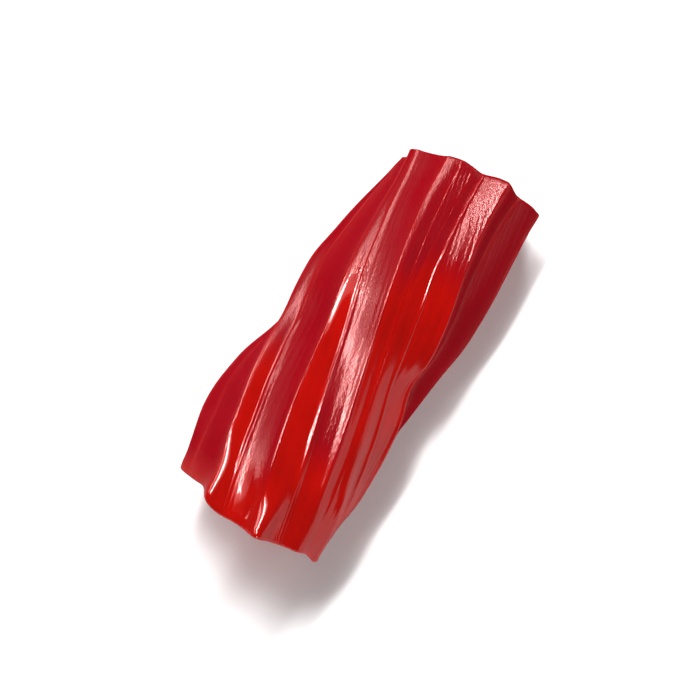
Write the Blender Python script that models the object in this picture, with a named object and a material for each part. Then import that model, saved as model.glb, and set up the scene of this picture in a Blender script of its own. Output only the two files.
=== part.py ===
"""One piece of soft-eating red licorice, lying on its side.

The rope was pressed through a ribbed nozzle that twists it, and then chopped to length. The piece is one
solid: a log whose creases wind round it, with two slanted knife cuts and an underside that its own weight
has pressed flat. It lies along X with its narrow end at +X. Metres, +Z up, origin at the middle of the
footprint.
"""

import math

import bmesh
import bpy

MM = 0.001

# Driving sizes of the piece, all in metres
LENGTH = 42.2 * MM
NARROW_RADIUS = 8.0 * MM
WIDE_RADIUS = 9.1 * MM
WAIST_DEPTH = 0.40 * MM
END_DROP = 0.95 * MM
END_DROP_FROM = 0.84
END_DROP_TO = 1.08
HEIGHT_SHARE = 0.89
PRESSED_FLAT = 0.60 * MM

# The creases, one row each going round to the right. First the bearing from straight up in degrees at the
# narrow end, at one and at two thirds of the length and at the wide end, then the height in mm at the same
# four places, then the flatness of the facet that follows. A high crease is the crest of a rib and a low one
# is the foot of the wall beside it. Flatness 0 keeps the log's own curve, 1 is dead flat and more is hollow.
CREASES = (
    (-107.0, -79.0, -44.0, -20.0, 0.25, 0.50, 0.60, 0.40, 0.6),
    (-95.0, -73.0, -37.0, -8.0, -0.55, -0.60, -0.70, -0.35, 1.6),
    (-50.0, -29.0, -6.0, 19.0, 0.00, -0.05, 0.40, 0.35, 0.6),
    (-45.0, -20.0, 9.0, 36.0, -0.10, -0.60, -0.60, -0.60, 2.0),
    (-12.0, 5.0, 32.0, 57.0, 0.40, 0.55, 0.18, 0.20, 0.6),
    (-3.0, 14.0, 39.0, 67.0, 0.00, -0.20, -0.30, -0.40, 0.6),
    (10.0, 19.0, 45.0, 89.0, -0.35, -0.30, 0.00, 0.10, 0.6),
    (16.0, 29.0, 59.0, 103.0, -0.80, -0.60, -0.60, -0.60, 0.6),
    (35.0, 51.0, 85.0, 117.0, 0.80, 0.50, -0.10, -0.20, 0.6),
    (53.0, 64.0, 97.0, 131.0, -0.30, -0.60, -0.60, -0.60, 0.6),
)
HIDDEN_RIBS = 4
HIDDEN_WALL = 12.0
HIDDEN_CREST = 0.45
HIDDEN_FOOT = -0.65
RIB_STRAY = 2.0
RIB_CHANGE = 0.15
HIDDEN_FLATNESS = 0.6
PRESSED_RIBS = 0.7

# Dents and bulges: bearing and share of the length at the middle, spread in degrees and share, depth in mm
DENTS = (
    (71.0, 0.54, 13.0, 0.045, 0.70),
    (-70.0, 0.72, 16.0, 0.11, -0.60),
    (71.0, 0.76, 20.0, 0.14, 0.25),
    (21.0, 1.02, 5.0, 0.085, -1.40),
    (-20.0, 0.98, 5.0, 0.060, -0.60),
)

# The knife cuts: slant from square, swell of the face, roundness of the rim
WIDE_CUT_SLANT = math.radians(22.0)
NARROW_CUT_SLANT = math.radians(6.0)
SIDE_SLANT = math.radians(4.8)
FACE_SWELL = 0.55 * MM
RIM_ROUND = 0.40 * MM
RIM_ROUND_CHANGE = 0.45
SMEARED_SHARE = 0.55
SMEAR_FROM = 0.84
SMEAR_TO = 0.97

# Lips drawn out by the knife: end (0 narrow, 1 wide), bearing in degrees, spread in degrees, reach in mm
LIPS = (
    (1, -68.0, 11.0, 0.35),
    (1, 93.0, 10.0, 0.75),
    (1, -12.0, 8.0, 0.35),
    (1, 6.0, 32.0, 1.00),
    (1, -33.0, 8.0, -0.40),
    (0, -57.0, 16.0, -0.20),
    (0, 31.0, 9.0, 0.45),
    (0, -1.0, 8.0, 0.30),
    (0, 75.0, 13.0, 0.30),
    (0, 180.0, 20.0, 0.45),
    (1, 190.0, 22.0, 0.45),
)
LIP_DEPTH = 1.4 * MM

# How finely the solid is faceted
PER_FACET = 5
ROWS = 38
RIM_ROWS = (0.0, 0.25, 0.6, 1.0)
FACE_RINGS = (0.9, 0.68, 0.42, 0.18)


def smoothstep(low, high, value):
    """0 below low, 1 above high, with a smooth rise between them."""
    share = min(1.0, max(0.0, (value - low) / (high - low)))
    return share * share * (3.0 - 2.0 * share)


def bell(offset, spread):
    """1 at the middle, falling away over the spread."""
    return math.exp(-0.5 * (offset / spread) ** 2)


def bearing_gap(one, other):
    """The shorter way round from one bearing to the other, in degrees."""
    return (one - other + 180.0) % 360.0 - 180.0


def through_thirds(knots, along):
    """The cubic that passes through four values, a third of the length apart."""
    a, b, c, d = along, along - 1.0 / 3.0, along - 2.0 / 3.0, along - 1.0
    first, second, third, last = knots
    early = -4.5 * first * b * c * d + 13.5 * second * a * c * d
    return early - 13.5 * third * a * b * d + 4.5 * last * a * b * c


def creases_at(along):
    """Bearing in degrees, height in metres and flatness behind every crease, going round once."""
    here = []
    for row in CREASES:
        here.append((through_thirds(row[:4], along), through_thirds(row[4:8], along), row[8]))
    start = here[-1][0]
    step = (here[0][0] + 360.0 - start) / (HIDDEN_RIBS + 0.75)
    for rib in range(HIDDEN_RIBS):
        crest = start + step * (rib + 0.75) + RIB_STRAY * math.sin(5.0 * along + 2.0 * rib)
        tall = RIB_CHANGE * math.sin(3.0 * along + 1.7 * rib)
        here.append((crest, HIDDEN_CREST + tall, HIDDEN_FLATNESS))
        here.append((crest + HIDDEN_WALL, HIDDEN_FOOT + tall, HIDDEN_FLATNESS))
    keep = 1.0 - SMEARED_SHARE * smoothstep(SMEAR_FROM, SMEAR_TO, along)
    shaped = []
    for bearing, height, flatness in here:
        under = smoothstep(120.0, 160.0, abs(bearing_gap(bearing, 0.0)))
        shaped.append((bearing, height * MM * keep * (1.0 - under * PRESSED_RIBS), flatness))
    return shaped


def log_radius(along):
    """The rope's own radius at a share of its length, from the narrow end."""
    grown = smoothstep(-0.08, 0.42, along) * 0.8 + smoothstep(0.5, 0.8, along) * 0.2
    lost = WAIST_DEPTH * bell(along - 0.53, 0.07) + END_DROP * smoothstep(END_DROP_FROM, END_DROP_TO, along)
    return NARROW_RADIUS + (WIDE_RADIUS - NARROW_RADIUS) * grown - lost


def dent_depth(bearing, along):
    """How deep the dents and bulges lie there."""
    depth = 0.0
    for middle, place, spread, reach, most in DENTS:
        depth += most * MM * bell(bearing_gap(bearing, middle), spread) * bell(along - place, reach)
    return depth


def section_at(along):
    """The rope's outline at a share of its length, as bearing in degrees and radius of each point."""
    creases = creases_at(along)
    base = log_radius(along)
    outline = []
    for number, (start, low, flatness) in enumerate(creases):
        end, high, _ = creases[(number + 1) % len(creases)]
        if number == len(creases) - 1:
            end += 360.0
        near, far = base + low, base + high
        span = math.radians(end - start)
        for step in range(PER_FACET):
            share = step / PER_FACET
            turn = span * share
            curved = near + (far - near) * share
            flat = near * far * math.sin(span) / (near * math.sin(turn) + far * math.sin(span - turn))
            bearing = start + (end - start) * share
            wave = 0.05 * MM * math.sin(math.radians(3.0 * bearing) + 11.0 * along)
            radius = curved + (flat - curved) * flatness - dent_depth(bearing, along) + wave
            outline.append((bearing, radius))
    return outline


def lip_at(end, bearing):
    """How far the knife has drawn the rim out at this end and bearing."""
    reach = 0.0
    for lip_end, middle, spread, depth in LIPS:
        if lip_end == end:
            reach += depth * MM * bell(bearing_gap(bearing, middle), spread)
    return reach


def rim_round(end, bearing):
    """The rim's rounding radius, which changes on the way round."""
    turn = math.radians(bearing)
    change = math.sin(turn + 0.8 + end) + 0.4 * math.sin(3.0 * turn + 2.0 * end)
    return RIM_ROUND * (1.0 + RIM_ROUND_CHANGE * change)


def cut_plane(end, side, rise):
    """Where the knife's plane at this end lies along the log, at a place beside and above the axis."""
    if end == 0:
        return LENGTH / 2.0 - math.tan(NARROW_CUT_SLANT) * rise - math.tan(SIDE_SLANT) * side
    return -LENGTH / 2.0 - math.tan(WIDE_CUT_SLANT) * rise + math.tan(SIDE_SLANT) * side


def skin_point(bearing, radius, along, end, rim_share):
    """A point of the rope's skin. At an end, rim_share is 0 at the cut and 1 where its rounding stops."""
    setback = 0.0
    if end is not None:
        rounding = rim_round(end, bearing)
        setback = rounding * rim_share
        radius -= rounding * (1.0 - math.sqrt(1.0 - (1.0 - rim_share) ** 2))
    narrow_lip, wide_lip = lip_at(0, bearing), lip_at(1, bearing)
    radius += 0.3 * abs(narrow_lip) * math.exp(-along * LENGTH / LIP_DEPTH)
    radius += 0.3 * abs(wide_lip) * math.exp(-(1.0 - along) * LENGTH / LIP_DEPTH)
    turn = math.radians(bearing)
    side = -radius * math.sin(turn)
    rise = radius * math.cos(turn) * HEIGHT_SHARE
    narrow_x = cut_plane(0, side, rise) + narrow_lip
    wide_x = cut_plane(1, side, rise) - wide_lip
    if end == 0:
        narrow_x -= setback
    if end == 1:
        wide_x += setback
    return narrow_x + (wide_x - narrow_x) * along, side, rise


def axis_height(along):
    """The height of the log's axis, so that its underside lies level although the log is wider at one end."""
    return log_radius(along) * HEIGHT_SHARE - PRESSED_FLAT


def face_point(rim, end, inward):
    """A point of a knife cut, at a share of the way from its rim to its middle."""
    x, side, rise = rim
    left = 1.0 - inward
    lip = (x - cut_plane(end, side, rise)) * left**5
    swell = FACE_SWELL * (1.0 - left**2.4) * (1.0 if end == 0 else -1.0)
    return cut_plane(end, side * left, rise * left) + lip + swell, side * left, rise * left


def stations():
    """Every ring along the skin: its share of the length, the end whose rim it is part of, the rim share."""
    rings = [(0.0, 0, share) for share in RIM_ROWS]
    first, last = 0.035, 0.965
    for row in range(ROWS):
        rings.append((first + (last - first) * row / (ROWS - 1), None, 0.0))
    rings += [(1.0, 1, share) for share in reversed(RIM_ROWS)]
    return rings


def extrude_ring(mesh, vertices, edges, points):
    """Extrudes a ring of edges, keeping its order, and moves the new ring to its points."""
    made = bmesh.ops.extrude_edge_only(mesh, edges=edges)["geom"]
    new_edges = [item for item in made if isinstance(item, bmesh.types.BMEdge)]
    fresh = {item for item in made if isinstance(item, bmesh.types.BMVert)}
    follow = []
    for vertex, point in zip(vertices, points):
        twins = [edge.other_vert(vertex) for edge in vertex.link_edges if edge.other_vert(vertex) in fresh]
        twins[0].co = point
        follow.append(twins[0])
    return follow, new_edges


def close_cut(mesh, vertices, edges, end):
    """Draws the last ring in towards the middle of a knife cut and fills what is left."""
    rims = [vertex.co.copy() for vertex in vertices]
    height = axis_height(float(end))
    for rim in rims:
        rim.z -= height
    for left in FACE_RINGS:
        points = [face_point(rim, end, 1.0 - left) for rim in rims]
        placed = [(x, side, rise + height) for x, side, rise in points]
        vertices, edges = extrude_ring(mesh, vertices, edges, placed)
    bmesh.ops.contextual_create(mesh, geom=edges)


def ring_points(along, end, rim_share):
    """The places of one ring's vertices, with the underside pressed flat at the ground."""
    height = axis_height(along)
    points = []
    for bearing, radius in section_at(along):
        x, side, rise = skin_point(bearing, radius, along, end, rim_share)
        points.append((x, side, rise + height))
    return points


def centre_footprint(mesh):
    """Moves the solid so that the origin is under the middle of its outline."""
    xs = [vertex.co.x for vertex in mesh.verts]
    ys = [vertex.co.y for vertex in mesh.verts]
    offset = (-(min(xs) + max(xs)) / 2.0, -(min(ys) + max(ys)) / 2.0, 0.0)
    bmesh.ops.translate(mesh, verts=mesh.verts, vec=offset)


def licorice_mesh():
    """The whole solid: a ring is extruded from cut to cut, then both cuts are closed."""
    mesh = bmesh.new()
    rings = stations()
    points = ring_points(*rings[0])
    first = list(bmesh.ops.create_circle(mesh, segments=len(points), radius=1.0)["verts"])
    for vertex, point in zip(first, points):
        vertex.co = point
    first_edges = list(mesh.edges)
    vertices, edges = first, first_edges
    for ring in rings[1:]:
        vertices, edges = extrude_ring(mesh, vertices, edges, ring_points(*ring))
    close_cut(mesh, vertices, edges, 1)
    close_cut(mesh, first, first_edges, 0)
    for vertex in mesh.verts:
        vertex.co.z = max(0.0, vertex.co.z)
    centre_footprint(mesh)
    bmesh.ops.recalc_face_normals(mesh, faces=mesh.faces)
    data = bpy.data.meshes.new("licorice")
    mesh.to_mesh(data)
    mesh.free()
    return data


def red_licorice():
    """Deep red, a little see-through, with an oiled gloss."""
    material = bpy.data.materials.new("red_licorice")
    material.use_nodes = True
    shader = material.node_tree.nodes["Principled BSDF"]
    shader.inputs["Base Color"].default_value = (0.42, 0.006, 0.007, 1.0)
    shader.inputs["Roughness"].default_value = 0.24
    shader.inputs["Metallic"].default_value = 0.0
    return material


def clear_scene():
    """Removes whatever the startup scene holds."""
    for item in list(bpy.data.objects):
        bpy.data.objects.remove(item)


def main():
    clear_scene()
    data = licorice_mesh()
    data.materials.append(red_licorice())
    piece = bpy.data.objects.new("licorice", data)
    bpy.context.scene.collection.objects.link(piece)
    data.shade_smooth()
    data.set_sharp_from_angle(angle=math.radians(40.0))


main()
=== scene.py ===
"""One piece of soft-eating red licorice, as it looks on a pale surface in soft studio light."""

import math

import bmesh
import bpy
import numpy as np
from mathutils import Matrix, Vector


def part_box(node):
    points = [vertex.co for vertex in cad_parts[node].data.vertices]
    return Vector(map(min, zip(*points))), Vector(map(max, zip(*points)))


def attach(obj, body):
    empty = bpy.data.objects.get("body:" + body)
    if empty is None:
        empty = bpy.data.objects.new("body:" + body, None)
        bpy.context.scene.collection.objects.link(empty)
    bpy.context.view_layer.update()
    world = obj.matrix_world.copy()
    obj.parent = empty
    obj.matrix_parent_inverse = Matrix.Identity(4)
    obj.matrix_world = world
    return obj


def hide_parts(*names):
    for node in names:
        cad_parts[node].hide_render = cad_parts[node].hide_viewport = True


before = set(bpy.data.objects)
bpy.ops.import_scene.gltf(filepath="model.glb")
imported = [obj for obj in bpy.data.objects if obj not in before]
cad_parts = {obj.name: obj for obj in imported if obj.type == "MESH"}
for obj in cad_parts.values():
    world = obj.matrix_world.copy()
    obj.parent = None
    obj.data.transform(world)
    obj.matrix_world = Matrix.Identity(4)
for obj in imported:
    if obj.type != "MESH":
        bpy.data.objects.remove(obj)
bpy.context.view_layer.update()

# Licorice piece
# Soft red candy, one solid: a log with winding creases, chopped at both ends with a slanted knife.
# A ring is extruded from cut to cut and each ring takes the section that the nozzle and the twist give it.
MM = 0.001
length = 42.2 * MM
narrow_radius = 8.0 * MM
wide_radius = 9.1 * MM
# The log widens in two stages: from and to which share of the length, and how much of the gain each makes
widening = ((-0.08, 0.42, 0.8), (0.5, 0.8, 0.2))
# It thins at a waist and just before the wide cut
waist_depth = 0.40 * MM
waist_place, waist_spread = 0.53, 0.07
end_drop = 0.95 * MM
end_drop_from, end_drop_to = 0.84, 1.08
# A slow wave of the whole log: its height, how many crests go round, and how fast they wind
log_wave = 0.05 * MM
log_wave_count, log_wave_pace = 3.0, 11.0
# It has sagged to this share of its height, and is pressed flat by this much underneath
height_share = 0.89
pressed_flat = 0.60 * MM

# Each crease: bearing from straight up in degrees at the narrow end, at both thirds and at the wide end,
# height in mm at the same four places, how far its rounding reaches to either side in degrees, and the
# flatness of the facet that follows it: 0 keeps the log's own curve, 1 is dead flat and more is hollow
creases = (
    (-107.0, -79.0, -44.0, -20.0, 0.25, 0.50, 0.60, 0.40, 3.0, 0.6),
    (-95.0, -73.0, -37.0, -8.0, -0.55, -0.60, -0.70, -0.35, 1.5, 1.6),
    (-50.0, -29.0, -6.0, 19.0, 0.00, -0.05, 0.40, 0.35, 2.6, 0.6),
    (-45.0, -20.0, 9.0, 36.0, -0.10, -0.60, -0.60, -0.60, 1.8, 2.0),
    (-12.0, 5.0, 32.0, 57.0, 0.40, 0.55, 0.18, 0.20, 4.6, 0.6),
    (-3.0, 14.0, 39.0, 67.0, 0.00, -0.20, -0.30, -0.40, 2.2, 0.6),
    (10.0, 19.0, 45.0, 89.0, -0.35, -0.30, 0.00, 0.10, 4.0, 0.6),
    (16.0, 29.0, 59.0, 103.0, -0.80, -0.60, -0.60, -0.60, 3.6, 0.6),
    (35.0, 51.0, 85.0, 117.0, 0.80, 0.50, -0.10, -0.20, 3.6, 0.6),
    (53.0, 64.0, 97.0, 131.0, -0.30, -0.60, -0.60, -0.60, 2.5, 0.6),
)
# The rounding is done in passes, each over a share of the reach, on bearings this many degrees apart
rounding_share, rounding_passes = 0.7, 2
bearing_step = 0.25

# The ribs of the far side and the underside, which share the rest of the way round: how wide the wall beside
# each crest is, how tall crest and foot are in mm, how far on the first one starts, and how each strays and
# changes along the log. Underneath they are pressed flatter, from and to which bearing in degrees.
hidden_ribs = 4
hidden_wall = 12.0
hidden_crest, hidden_foot = 0.45, -0.65
hidden_rounding = 1.4
hidden_flatness = 0.6
hidden_start = 0.75
rib_stray, stray_pace, stray_step = 2.0, 5.0, 2.0
rib_change, change_pace, change_step = 0.15, 3.0, 1.7
pressed_ribs = 0.7
under_from, under_to = 120.0, 160.0

# Dents and bulges: bearing and share of the length at their middle, spread in degrees and share, depth in mm
dents = (
    (71.0, 0.54, 13.0, 0.045, 0.70),
    (-70.0, 0.72, 16.0, 0.11, -0.60),
    (71.0, 0.76, 20.0, 0.14, 0.25),
    (21.0, 1.02, 5.0, 0.085, -1.40),
    (-20.0, 0.98, 5.0, 0.060, -0.60),
)

# Knife cuts
wide_slant = math.radians(22.0)
narrow_slant = math.radians(6.0)
side_slant = math.radians(4.8)
face_swell = 0.55 * MM
rim_round = 0.40 * MM
# The rim's rounding changes on the way round: by which share, with how strong a ripple, and from where
rim_change, rim_ripple, rim_start = 0.45, 0.4, 0.8
# The knife smears the creases just before the wide cut, and takes this share of their height
smeared_share = 0.55
smear_from, smear_to = 0.84, 0.97
# A lip thickens the rope behind it: how far along, and by which share of its reach
lip_depth = 1.4 * MM
lip_flare = 0.3
# How fast the rim's own shape is lost on the way to the middle of a cut
rim_fade = 5
# Lips that the knife draws out: end (0 narrow, 1 wide), bearing, spread in degrees, reach in mm
lips = (
    (1, -68.0, 11.0, 0.35),
    (1, 93.0, 10.0, 0.75),
    (1, -12.0, 8.0, 0.35),
    (1, 6.0, 32.0, 1.00),
    (1, -33.0, 8.0, -0.40),
    (0, -57.0, 16.0, -0.20),
    (0, 31.0, 9.0, 0.45),
    (0, -1.0, 8.0, 0.30),
    (0, 75.0, 13.0, 0.30),
    (0, 180.0, 20.0, 0.45),
    (1, 190.0, 22.0, 0.45),
)

# Mesh density: points on each land and each wall, rings, and the rings of each rim and cut
per_land, per_wall = 34, 13
crowding = 0.6
rows = 186
first_row, last_row = 0.02, 0.98
rim_rows = (0.0, 0.08, 0.22, 0.42, 0.68, 1.0)
face_rings = (0.96, 0.88, 0.75, 0.6, 0.45, 0.3, 0.15)

# Fine relief: a raised bead along both edges of each land that is wide enough for it, streaks along the flow
# and slow waves across it. The beads grow towards the wide end and fade just before it.
bead_heights = (0.100 * MM, 0.240 * MM)
bead_reaches = (0.9, 1.7)
bead_inset = 1.2
bead_from, bead_to = 0.45, 0.80
bead_room = (7.0, 17.0)
bead_fade = (0.82, 0.92)
flow_twist = 82.0
streak_height = 0.0030 * MM
streak_counts = (38, 150)
streak_drift = 9.0
streaks = 22
wave_height = 0.010 * MM
wave_counts = (0, 6)
wave_paces = (14.0, 55.0)
waves = 10
chance = np.random.default_rng(11)
streak_table = np.column_stack([
    chance.integers(*streak_counts, streaks),
    chance.uniform(-streak_drift, streak_drift, streaks),
    chance.uniform(0.0, math.tau, streaks),
])
wave_table = np.column_stack([
    chance.integers(*wave_counts, waves),
    chance.uniform(*wave_paces, waves),
    chance.uniform(0.0, math.tau, waves),
])

# How far each point of a ring lies inside its facet, from 0 at a crease to 1 in the middle, and the same with
# 0 on every wall
facet_sizes = [per_wall, per_land] * (len(creases) // 2 + hidden_ribs)
fullness = 0.25
inside = np.concatenate([
    np.sin(math.pi * (np.arange(count) + 0.5) / count) ** fullness for count in facet_sizes
])
land_share = inside * np.repeat(np.array(facet_sizes) == per_land, facet_sizes)

# Where each facet loses its grainy skin and its painted crimson sheen, as a share of the length, going round
# from the first crease: first those of the creases above, then those of the hidden ribs. 0 has none.
# The same share carries the painted sheen in the colour and the real grain, roughness and dulling of the
# lands
sheen_and_grain_ends = (
    0.62, 0.88, 0.36, 0.78, 0.33, 0.30, 0.25, 0.26, 0.55, 0.96,
    0.0, 0.98, 0.0, 0.98, 0.0, 0.98, 0.98, 0.98,
)
sheen_and_grain_blur = 0.06
# Size in mm of the untwisted rope that the grain follows
flow_radius, flow_length = 9.0, 42.0


def smoothstep(low, high, value):
    """0 below low, 1 above high, with a smooth rise between them."""
    share = np.clip((value - low) / (high - low), 0.0, 1.0)
    return share * share * (3.0 - 2.0 * share)


def bell(offset, spread):
    """1 at the middle, falling away over the spread."""
    return np.exp(-0.5 * (offset / spread) ** 2)


def bearing_gap(one, other):
    """The shorter way round from one bearing to the other, in degrees."""
    return (one - other + 180.0) % 360.0 - 180.0


def through_thirds(knots, along):
    """The cubic that passes through four values, a third of the length apart."""
    a, b, c, d = along, along - 1.0 / 3.0, along - 2.0 / 3.0, along - 1.0
    first, second, third, last = knots
    early = -4.5 * first * b * c * d + 13.5 * second * a * c * d
    return early - 13.5 * third * a * b * d + 4.5 * last * a * b * c


def creases_at(along):
    """Bearing in degrees, height in metres, rounding in degrees and flatness of every crease, in order."""
    here = []
    for *knots, rounding, flatness in creases:
        bearing = through_thirds(knots[:4], along)
        height = through_thirds(knots[4:], along)
        here.append((bearing, height, rounding, flatness))
    start = here[-1][0]
    step = (here[0][0] + 360.0 - start) / (hidden_ribs + hidden_start)
    for rib in range(hidden_ribs):
        stray = rib_stray * math.sin(stray_pace * along + stray_step * rib)
        crest = start + step * (rib + hidden_start) + stray
        tall = rib_change * math.sin(change_pace * along + change_step * rib)
        here.append((crest, hidden_crest + tall, hidden_rounding, hidden_flatness))
        here.append((crest + hidden_wall, hidden_foot + tall, hidden_rounding, hidden_flatness))
    bearing, height, rounding, flatness = np.array(here).T
    keep = 1.0 - smeared_share * smoothstep(smear_from, smear_to, along)
    under = smoothstep(under_from, under_to, abs(bearing_gap(bearing, 0.0)))
    return bearing, height * MM * keep * (1.0 - under * pressed_ribs), rounding, flatness


def log_radius(along):
    """The rope's own radius at a share of its length, from the narrow end."""
    grown = sum(smoothstep(start, stop, along) * gain for start, stop, gain in widening)
    lost = waist_depth * bell(along - waist_place, waist_spread)
    lost += end_drop * smoothstep(end_drop_from, end_drop_to, along)
    return narrow_radius + (wide_radius - narrow_radius) * grown - lost


def facets_at(along, around, crease_bearing, crease_radius, flatness):
    """The rope's radius at each bearing around it, with its facets between sharp creases and its dents."""
    place = np.searchsorted(crease_bearing, around, side="right") - 1
    start, end = crease_bearing[place], crease_bearing[place + 1]
    near, far = crease_radius[place], crease_radius[place + 1]
    share = (around - start) / (end - start)
    span = np.radians(end - start)
    curved = near + (far - near) * share
    flat = near * far * np.sin(span) / (near * np.sin(span * share) + far * np.sin(span * (1.0 - share)))
    radius = curved + (flat - curved) * flatness[place]
    for middle, spot, spread, reach, depth in dents:
        radius -= depth * MM * bell(bearing_gap(around, middle), spread) * bell(along - spot, reach)
    return radius + log_wave * np.sin(np.radians(log_wave_count * around) + log_wave_pace * along)


def rounded_off(radius, around, reach):
    """Rounds the creases: each radius becomes the average of those within its reach, more than once."""
    for _ in range(rounding_passes):
        total = np.concatenate([[0.0], np.cumsum((radius[1:] + radius[:-1]) / 2.0)]) * bearing_step
        low = np.clip(around - reach, around[0], around[-1])
        high = np.clip(around + reach, around[0], around[-1])
        radius = (np.interp(high, around, total) - np.interp(low, around, total)) / (high - low)
    return radius


def ring_bearings(bearing):
    """The bearings of one ring's points: the same number on each facet, closer together beside creases."""
    ends = np.append(bearing[1:], bearing[0] + 360.0)
    points = []
    for count, start, end in zip(facet_sizes, bearing, ends):
        share = np.arange(count) / count
        share = share - crowding * np.sin(math.tau * share) / math.tau
        points.append(start + (end - start) * share)
    return np.concatenate(points)


def beads_at(along, bearing, points):
    """How far the beads raise each point of a ring. Each lies on the land's side of its crease."""
    grown = smoothstep(bead_from, bead_to, along)
    height = bead_heights[0] + (bead_heights[1] - bead_heights[0]) * grown
    height *= 1.0 - smoothstep(*bead_fade, along)
    reach = bead_reaches[0] + (bead_reaches[1] - bead_reaches[0]) * grown
    spans = np.diff(np.append(bearing, bearing[0] + 360.0))
    raised = np.zeros_like(points)
    for number, crease in enumerate(bearing):
        land_follows = number % 2 == 1
        middle = crease + (bead_inset if land_follows else -bead_inset) * reach
        room = smoothstep(*bead_room, spans[number if land_follows else number - 1])
        raised += height * room * bell(bearing_gap(points, middle), reach)
    return raised


def flow_relief_at(along, points):
    """How far the streaks on the lands and the slow waves raise each point of a ring."""
    flow = np.radians(points - flow_twist * along)
    raised = np.zeros_like(points)
    for count, drift, phase in streak_table:
        raised += streak_height * np.cos(count * flow + drift * along + phase) * land_share
    for count, pace, phase in wave_table:
        raised += wave_height * np.cos(count * flow + pace * along + phase)
    return raised


def section_at(along):
    """Bearing in degrees and radius of one ring's points at a share of the length."""
    bearing, height, rounding, flatness = creases_at(along)
    # Two turns are worked out, so that the rounding finds a neighbour on both sides of every crease
    crease_bearing = np.concatenate([bearing, bearing + 360.0, bearing + 720.0])
    around = np.arange(0.0, 720.0, bearing_step) + bearing[0]
    crease_radius = np.tile(log_radius(along) + height, 3)
    radius = facets_at(along, around, crease_bearing, crease_radius, np.tile(flatness, 3))
    reach = np.interp(around, crease_bearing, np.tile(rounding, 3)) * rounding_share
    radius = rounded_off(radius, around, reach)
    points = ring_bearings(bearing)
    inner = points + np.where(points < around[0] + 180.0, 360.0, 0.0)
    radius = np.interp(inner, around, radius)
    return points, radius + beads_at(along, bearing, points) + flow_relief_at(along, points)


def lip_at(end, bearing):
    """How far the knife has drawn the rim out at this end and bearing."""
    reach = np.zeros_like(bearing)
    for lip_end, middle, spread, depth in lips:
        if lip_end == end:
            reach += depth * MM * bell(bearing_gap(bearing, middle), spread)
    return reach


def cut_plane(end, side, rise):
    """Where the knife's plane at this end lies along the log, at a place beside and above the axis."""
    if end == 0:
        return length / 2.0 - math.tan(narrow_slant) * rise - math.tan(side_slant) * side
    return -length / 2.0 - math.tan(wide_slant) * rise + math.tan(side_slant) * side


def ring_at(along, end, rim_share):
    """Bearings and places of one ring's points. At an end, rim_share is 0 at the cut and 1 past its rim."""
    bearing, radius = section_at(along)
    turn = np.radians(bearing)
    setback = 0.0
    if end is not None:
        change = np.sin(turn + rim_start + end) + rim_ripple * np.sin(3.0 * turn + 2.0 * end)
        rounding = rim_round * (1.0 + rim_change * change)
        setback = rounding * rim_share
        radius = radius - rounding * (1.0 - math.sqrt(1.0 - (1.0 - rim_share) ** 2))
    narrow_lip, wide_lip = lip_at(0, bearing), lip_at(1, bearing)
    radius = radius + lip_flare * abs(narrow_lip) * math.exp(-along * length / lip_depth)
    radius = radius + lip_flare * abs(wide_lip) * math.exp(-(1.0 - along) * length / lip_depth)
    side, rise = -radius * np.sin(turn), radius * np.cos(turn) * height_share
    narrow_x = cut_plane(0, side, rise) + narrow_lip - (setback if end == 0 else 0.0)
    wide_x = cut_plane(1, side, rise) - wide_lip + (setback if end == 1 else 0.0)
    return bearing, np.column_stack([narrow_x + (wide_x - narrow_x) * along, side, rise])


def axis_height(along):
    """The height of the log's axis, so that its underside lies level although one end is wider."""
    return log_radius(along) * height_share - pressed_flat


def extrude_ring(mesh, vertices, edges, points):
    """Extrudes a ring of edges, keeping its order, and moves the new ring to its points."""
    made = bmesh.ops.extrude_edge_only(mesh, edges=edges)["geom"]
    new_edges = [item for item in made if isinstance(item, bmesh.types.BMEdge)]
    fresh = {item for item in made if isinstance(item, bmesh.types.BMVert)}
    follow = []
    for vertex, point in zip(vertices, points):
        others = (edge.other_vert(vertex) for edge in vertex.link_edges)
        twin = next(other for other in others if other in fresh)
        twin.co = point
        follow.append(twin)
    return follow, new_edges


mesh = bmesh.new()
sheen_and_grain_layer = mesh.verts.layers.float.new("sheen_and_grain")
cut_layer = mesh.verts.layers.float.new("cut")
flow_layer = mesh.verts.layers.float_vector.new("flow")


def mark(vertex, sheen_and_grain_share, cut_share, flow_place):
    """Notes on a point how much grainy skin with painted sheen and knife cut it has, and its place in the
    untwisted rope in mm.
    """
    vertex[sheen_and_grain_layer] = sheen_and_grain_share
    vertex[cut_layer] = cut_share
    vertex[flow_layer] = flow_place


def mark_ring(vertices, bearing, along):
    """Marks one ring of the skin, where each facet's grainy skin and painted sheen stop at its own share of
    the length.
    """
    turn = np.radians(bearing - flow_twist * along)
    ends = np.array(sheen_and_grain_ends)
    fade = (1.0 - smoothstep(ends - sheen_and_grain_blur, ends + sheen_and_grain_blur, along)) * (ends > 0.0)
    sheen_and_grain_shares = inside * np.repeat(fade, facet_sizes)
    for vertex, sheen_and_grain_share, angle in zip(vertices, sheen_and_grain_shares, turn):
        around = (math.cos(angle) * flow_radius, math.sin(angle) * flow_radius)
        mark(vertex, sheen_and_grain_share, 0.0, (*around, along * flow_length))


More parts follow.
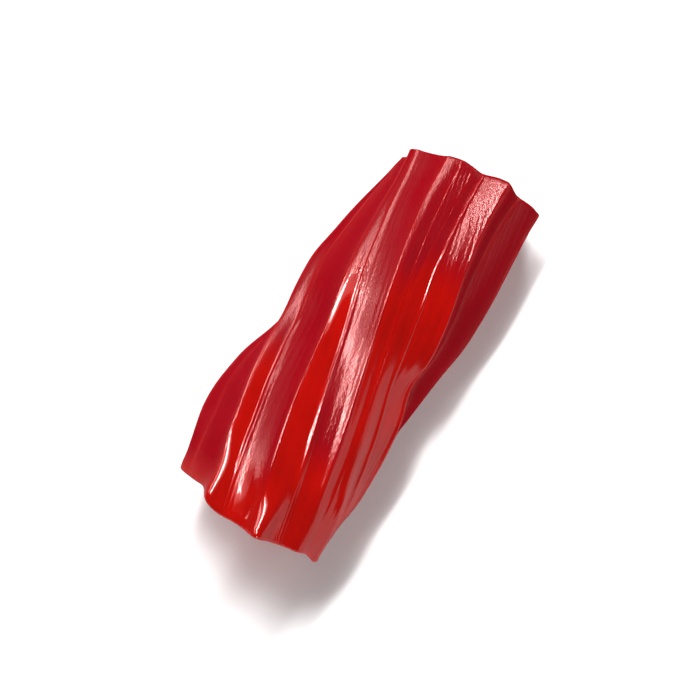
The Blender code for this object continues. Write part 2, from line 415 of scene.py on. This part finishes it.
def close_cut(vertices, edges, rim, end):
    """Draws the last ring in to the middle of a knife cut, which swells a little, and fills what is left."""
    x, side, rise = rim.T
    reach = side**2 + (rise / height_share) ** 2
    reach /= reach.mean()
    outwards = 1.0 if end == 0 else -1.0
    for share in face_rings:
        lip = (x - cut_plane(end, side, rise)) * share**rim_fade
        # A dome over the true distance from the middle, bent near the rim to end level all round it
        swell = face_swell * (1.0 - reach * share**2 - (1.0 - reach) * share**rim_fade) * outwards
        near_x = cut_plane(end, side * share, rise * share) + lip + swell
        points = np.column_stack([near_x, side * share, rise * share + axis_height(float(end))])
        vertices, edges = extrude_ring(mesh, vertices, edges, points)
        for vertex, across, up in zip(vertices, side, rise):
            mark(vertex, 0.0, 1.0, (across * share / MM, up * share / MM, end * flow_length))
    middle = bmesh.ops.contextual_create(mesh, geom=edges)["faces"]
    for vertex in bmesh.ops.poke(mesh, faces=middle)["verts"]:
        mark(vertex, 0.0, 1.0, (0.0, 0.0, end * flow_length))


# Every ring from the narrow cut to the wide one: its share of the length, its end if any, and its rim share
stations = [(0.0, 0, share) for share in rim_rows]
stations += [(along, None, 0.0) for along in np.linspace(first_row, last_row, rows)]
stations += [(1.0, 1, share) for share in reversed(rim_rows)]
first_bearing, first_points = ring_at(*stations[0])
first = list(bmesh.ops.create_circle(mesh, segments=len(first_points), radius=1.0)["verts"])
for vertex, point in zip(first, first_points + (0.0, 0.0, axis_height(0.0))):
    vertex.co = point
mark_ring(first, first_bearing, 0.0)
first_edges = list(mesh.edges)
ring_vertices, ring_edges = first, first_edges
for along, end, rim_share in stations[1:]:
    bearing, points = ring_at(along, end, rim_share)
    lifted = points + (0.0, 0.0, axis_height(along))
    ring_vertices, ring_edges = extrude_ring(mesh, ring_vertices, ring_edges, lifted)
    mark_ring(ring_vertices, bearing, along)
close_cut(ring_vertices, ring_edges, points, 1)
close_cut(first, first_edges, first_points, 0)
for vertex in mesh.verts:
    vertex.co.z = max(0.0, vertex.co.z)
bmesh.ops.recalc_face_normals(mesh, faces=mesh.faces)
# The fine piece fills the same box as the plain solid
low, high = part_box("licorice")
places = np.array([vertex.co for vertex in mesh.verts])
stretch = [(high[i] - low[i]) / (places[:, i].max() - places[:, i].min()) for i in range(3)]
start = [low[i] - places[:, i].min() * stretch[i] for i in range(3)]
for vertex in mesh.verts:
    vertex.co = [vertex.co[i] * stretch[i] + start[i] for i in range(3)]
licorice_data = bpy.data.meshes.new("licorice_look")
mesh.to_mesh(licorice_data)
mesh.free()
licorice_data.shade_smooth()
licorice = bpy.data.objects.new("licorice_look", licorice_data)
bpy.context.scene.collection.objects.link(licorice)

# Red candy: deep red and a little see-through. The lands have a matt, grainy skin whose colour carries a
# painted crimson sheen, the walls an oiled gloss, and the knife cuts are duller and scored. Seen at a slant,
# the oil mirrors less, least on the grainy lands.
dark_candy = (0.30, 0.0016, 0.0005, 1.0)
light_candy = (0.43, 0.0024, 0.0008, 1.0)
# A painted sheen: the crimson reflection on the lands, put into their colour
painted_crimson_sheen = (0.245, 0.0018, 0.0062, 1.0)
oil_tint = (1.0, 0.50, 0.48, 1.0)
# How see-through the candy is, how far light travels inside it, and which share of that each colour does
glow_weight, glow_reach, glow_colours = 0.25, 1.2 * MM, (1.0, 0.12, 0.06)
# What each pattern's place is multiplied by, in the section's two directions and along the rope: less than 1
# draws the pattern out that way
grain_draw, streak_draw, drag_draw = (1.0, 1.0, 0.7), (1.0, 1.0, 0.12), (2.2, 0.16, 1.0)
# Depth in mm of each pattern's relief
grain_depth, streak_depth, drag_depth, pit_depth = 0.045, 0.045, 0.16, 0.14
clean_grain = 0.02
least_grain, patchy_grain = 0.4, 0.9
oil_roughness, sheen_and_grain_roughness, patchy_roughness = 0.08, 0.03, 0.12
cut_roughness, slant_roughness, dull_roughness = 0.30, 0.32, 0.6
slant_blur, slant_dulling = (0.05, 0.45), (0.12, 0.42)
sheen_and_grain_dulling, clean_slant_dulling, sheen_and_grain_slant_dulling = 0.25, 0.5, 0.22
streak_tint, patch_tint = 0.8, 1.2


class Wire:
    """One output of a shader node, with arithmetic that adds Math nodes."""

    def __init__(self, tree, socket):
        self.tree = tree
        self.socket = socket

    def make(self, kind, settings=None, inputs=None, output=0):
        """Adds any node to the same tree and returns one of its outputs."""
        node = self.tree.nodes.new(kind)
        for name, value in (settings or {}).items():
            setattr(node, name, value)
        for name, value in (inputs or {}).items():
            if isinstance(value, Wire):
                self.tree.links.new(value.socket, node.inputs[name])
            else:
                node.inputs[name].default_value = value
        return Wire(self.tree, node.outputs[output])

    def maths(self, operation, *values):
        """A Math node of this operation on these values."""
        return self.make("ShaderNodeMath", {"operation": operation}, dict(enumerate(values)))

    def __add__(self, other):
        return self.maths("ADD", self, other)

    def __sub__(self, other):
        return self.maths("SUBTRACT", self, other)

    def __rsub__(self, other):
        return self.maths("SUBTRACT", other, self)

    def __mul__(self, other):
        return self.maths("MULTIPLY", self, other)

    def __pow__(self, other):
        return self.maths("POWER", self, other)

    __radd__ = __add__
    __rmul__ = __mul__

    def between(self, low, high):
        """0 below low and 1 above high, with a smooth rise between them."""
        inputs = {"Value": self, "From Min": low, "From Max": high}
        return self.make("ShaderNodeMapRange", {"interpolation_type": "SMOOTHSTEP"}, inputs)

    def drawn(self, shares):
        """This place with its width, depth and length multiplied, which draws a pattern out."""
        return self.make("ShaderNodeVectorMath", {"operation": "MULTIPLY"}, {0: self, 1: shares})

    def noise(self, scale, detail, roughness):
        """A soft random pattern at this place, from 0 to 1."""
        inputs = {"Vector": self, "Scale": scale, "Detail": detail, "Roughness": roughness}
        return self.make("ShaderNodeTexNoise", {}, inputs)

    def blend(self, one, other):
        """A colour this share of the way from one to the other."""
        return self.make("ShaderNodeMix", {"data_type": "RGBA"}, {"Factor": self, 6: one, 7: other}, 2)


candy = bpy.data.materials.new("red_licorice_look")
candy.use_nodes = True
tree = candy.node_tree
tree.nodes.clear()
sheen_and_grain_node = tree.nodes.new("ShaderNodeAttribute")
sheen_and_grain_node.attribute_name = "sheen_and_grain"
sheen_and_grain = Wire(tree, sheen_and_grain_node.outputs["Fac"])
cut = sheen_and_grain.make("ShaderNodeAttribute", {"attribute_name": "cut"}, output="Fac")
flow = sheen_and_grain.make("ShaderNodeAttribute", {"attribute_name": "flow"}, output="Vector")
grain_place = flow.drawn(grain_draw)
grain = grain_place.noise(5.2, 2.0, 0.6)
patch = grain_place.noise(0.35, 2.0, 0.5)
streak = flow.drawn(streak_draw).noise(1.5, 3.0, 0.55)
drag = flow.drawn(drag_draw).noise(1.0, 4.0, 0.6)
pits = flow.noise(1.6, 3.0, 0.65)
grainy = sheen_and_grain * (least_grain + patch * patchy_grain) + clean_grain
height = grain * grainy * grain_depth + streak * streak_depth * sheen_and_grain
height = height + (drag * drag_depth + pits * pit_depth) * cut
bump = height.make("ShaderNodeBump", {}, {"Height": height, "Strength": 1.0, "Distance": 1.0 * MM}, "Normal")
turned = sheen_and_grain.make("ShaderNodeLayerWeight", {}, {"Blend": 0.5}, "Facing")
roughness = oil_roughness + sheen_and_grain ** 3 * (sheen_and_grain_roughness + patchy_roughness * patch)
roughness = roughness + cut * cut_roughness + turned.between(*slant_blur) * slant_roughness
tint = 0.5 + (streak - 0.5) * streak_tint + (patch - 0.5) * patch_tint
clean = tint.blend(dark_candy, light_candy)
soft = {
    # The candy's colour, turned towards the painted crimson sheen on the lands
    "Base Color": sheen_and_grain.blend(clean, painted_crimson_sheen),
    "Normal": bump,
    "Subsurface Weight": glow_weight,
    "Subsurface Radius": glow_colours,
    "Subsurface Scale": glow_reach,
}
gloss = {"Roughness": roughness, "Specular IOR Level": 1.0, "Specular Tint": oil_tint}
matt = {"Roughness": dull_roughness, "Specular IOR Level": 0.0}
oiled = sheen_and_grain.make("ShaderNodeBsdfPrincipled", {}, soft | gloss, "BSDF")
dull = sheen_and_grain.make("ShaderNodeBsdfPrincipled", {}, soft | matt, "BSDF")
slant_loss = turned.between(*slant_dulling) * (clean_slant_dulling + sheen_and_grain * sheen_and_grain_slant_dulling)
oil_left = 1.0 - sheen_and_grain * sheen_and_grain_dulling - slant_loss
whole = oil_left.make("ShaderNodeMixShader", {}, {0: oil_left, 1: dull, 2: oiled})
tree.links.new(whole.socket, tree.nodes.new("ShaderNodeOutputMaterial").inputs["Surface"])
licorice_data.materials.append(candy)
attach(licorice, "root")
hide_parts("licorice")

# Floor
# A wide pale sheet that the piece lies on, plain and matt.
# It is a single flat square, far larger than the view.
floor_half = 1.5
floor_white = (0.92, 0.92, 0.92, 1.0)
floor_roughness = 0.9
floor_mesh = bmesh.new()
bmesh.ops.create_grid(floor_mesh, x_segments=1, y_segments=1, size=floor_half)
floor_data = bpy.data.meshes.new("floor")
floor_mesh.to_mesh(floor_data)
floor_mesh.free()
floor = bpy.data.objects.new("floor", floor_data)
bpy.context.scene.collection.objects.link(floor)
pale = bpy.data.materials.new("pale_floor")
pale.use_nodes = True
pale_shader = pale.node_tree.nodes["Principled BSDF"]
pale_shader.inputs["Base Color"].default_value = floor_white
pale_shader.inputs["Roughness"].default_value = floor_roughness
pale_shader.inputs["Specular IOR Level"].default_value = 0.0
floor_data.materials.append(pale)

# Light
# A wide softbox overhead, brighter towards its middle, with a slim bright strip along the log that draws the
# crest lines. A dim one is lower at its left and two small ones are nearer the narrow end. Fill and side
# light come from further off.
# The lights and the camera point at the middle of the piece
target = Vector((0.0, 0.0, 8.0 * MM))
# A faint light from all round
even_light = 0.07


def softbox(name, bearing, lean, distance, across, along, power):
    """An oval light. Its bearing is round the log from straight up, its lean along it to the narrow end."""
    turn, tilt = math.radians(bearing), math.radians(lean)
    way = Vector((math.sin(tilt), -math.cos(tilt) * math.sin(turn), math.cos(tilt) * math.cos(turn)))
    axis = (Vector((1.0, 0.0, 0.0)) - way * way.x).normalized()
    lamp = bpy.data.lights.new(name, "AREA")
    lamp.shape = "ELLIPSE"
    lamp.size, lamp.size_y = across, along
    lamp.energy = power
    holder = bpy.data.objects.new(name, lamp)
    holder.location = target + way * distance
    holder.rotation_euler = Matrix((axis.cross(way), axis, way)).transposed().to_euler()
    bpy.context.scene.collection.objects.link(holder)


# Name, bearing and lean in degrees, distance, width across and length along the log in metres, power in watts
softbox("key", -20.0, 13.0, 0.60, 0.42, 0.46, 0.76)
softbox("low", -46.0, 2.0, 0.60, 0.14, 0.26, 0.55)
softbox("middle", -17.0, 10.0, 0.59, 0.22, 0.22, 0.62)
softbox("core", -15.0, 12.0, 0.58, 0.12, 0.18, 0.6)
softbox("spark", -16.0, 12.0, 0.57, 0.04, 0.34, 1.9)
softbox("second", -24.0, 35.0, 0.60, 0.17, 0.12, 0.50)
softbox("end", -33.0, 46.0, 0.60, 0.14, 0.16, 0.6)
softbox("fill", 48.0, -46.0, 0.80, 0.30, 0.30, 3.0)
softbox("side", 60.0, 58.0, 0.80, 0.30, 0.30, 0.7)
world = bpy.data.worlds.new("studio")
world.use_nodes = True
world.node_tree.nodes["Background"].inputs["Color"].default_value = (1.0, 1.0, 1.0, 1.0)
world.node_tree.nodes["Background"].inputs["Strength"].default_value = even_light
bpy.context.scene.world = world

# Camera
# The photo's angle on the piece, from well above.
# It looks through a long lens, so that the log's sides stay nearly parallel.
azimuth, elevation = math.radians(-58.2), math.radians(70.0)
camera_distance = 0.36
level = math.cos(elevation)
back = Vector((math.sin(azimuth) * level, -math.cos(azimuth) * level, math.sin(elevation)))
lens = bpy.data.cameras.new("camera")
lens.lens = 180.0
lens.sensor_width = 36.0
lens.clip_start = 0.01
lens.dof.use_dof = False
camera = bpy.data.objects.new("camera", lens)
camera.location = target + back * camera_distance
camera.rotation_euler = back.to_track_quat("Z", "Y").to_euler()
bpy.context.scene.collection.objects.link(camera)
bpy.context.scene.camera = camera
bpy.context.scene.view_settings.view_transform = "Standard"
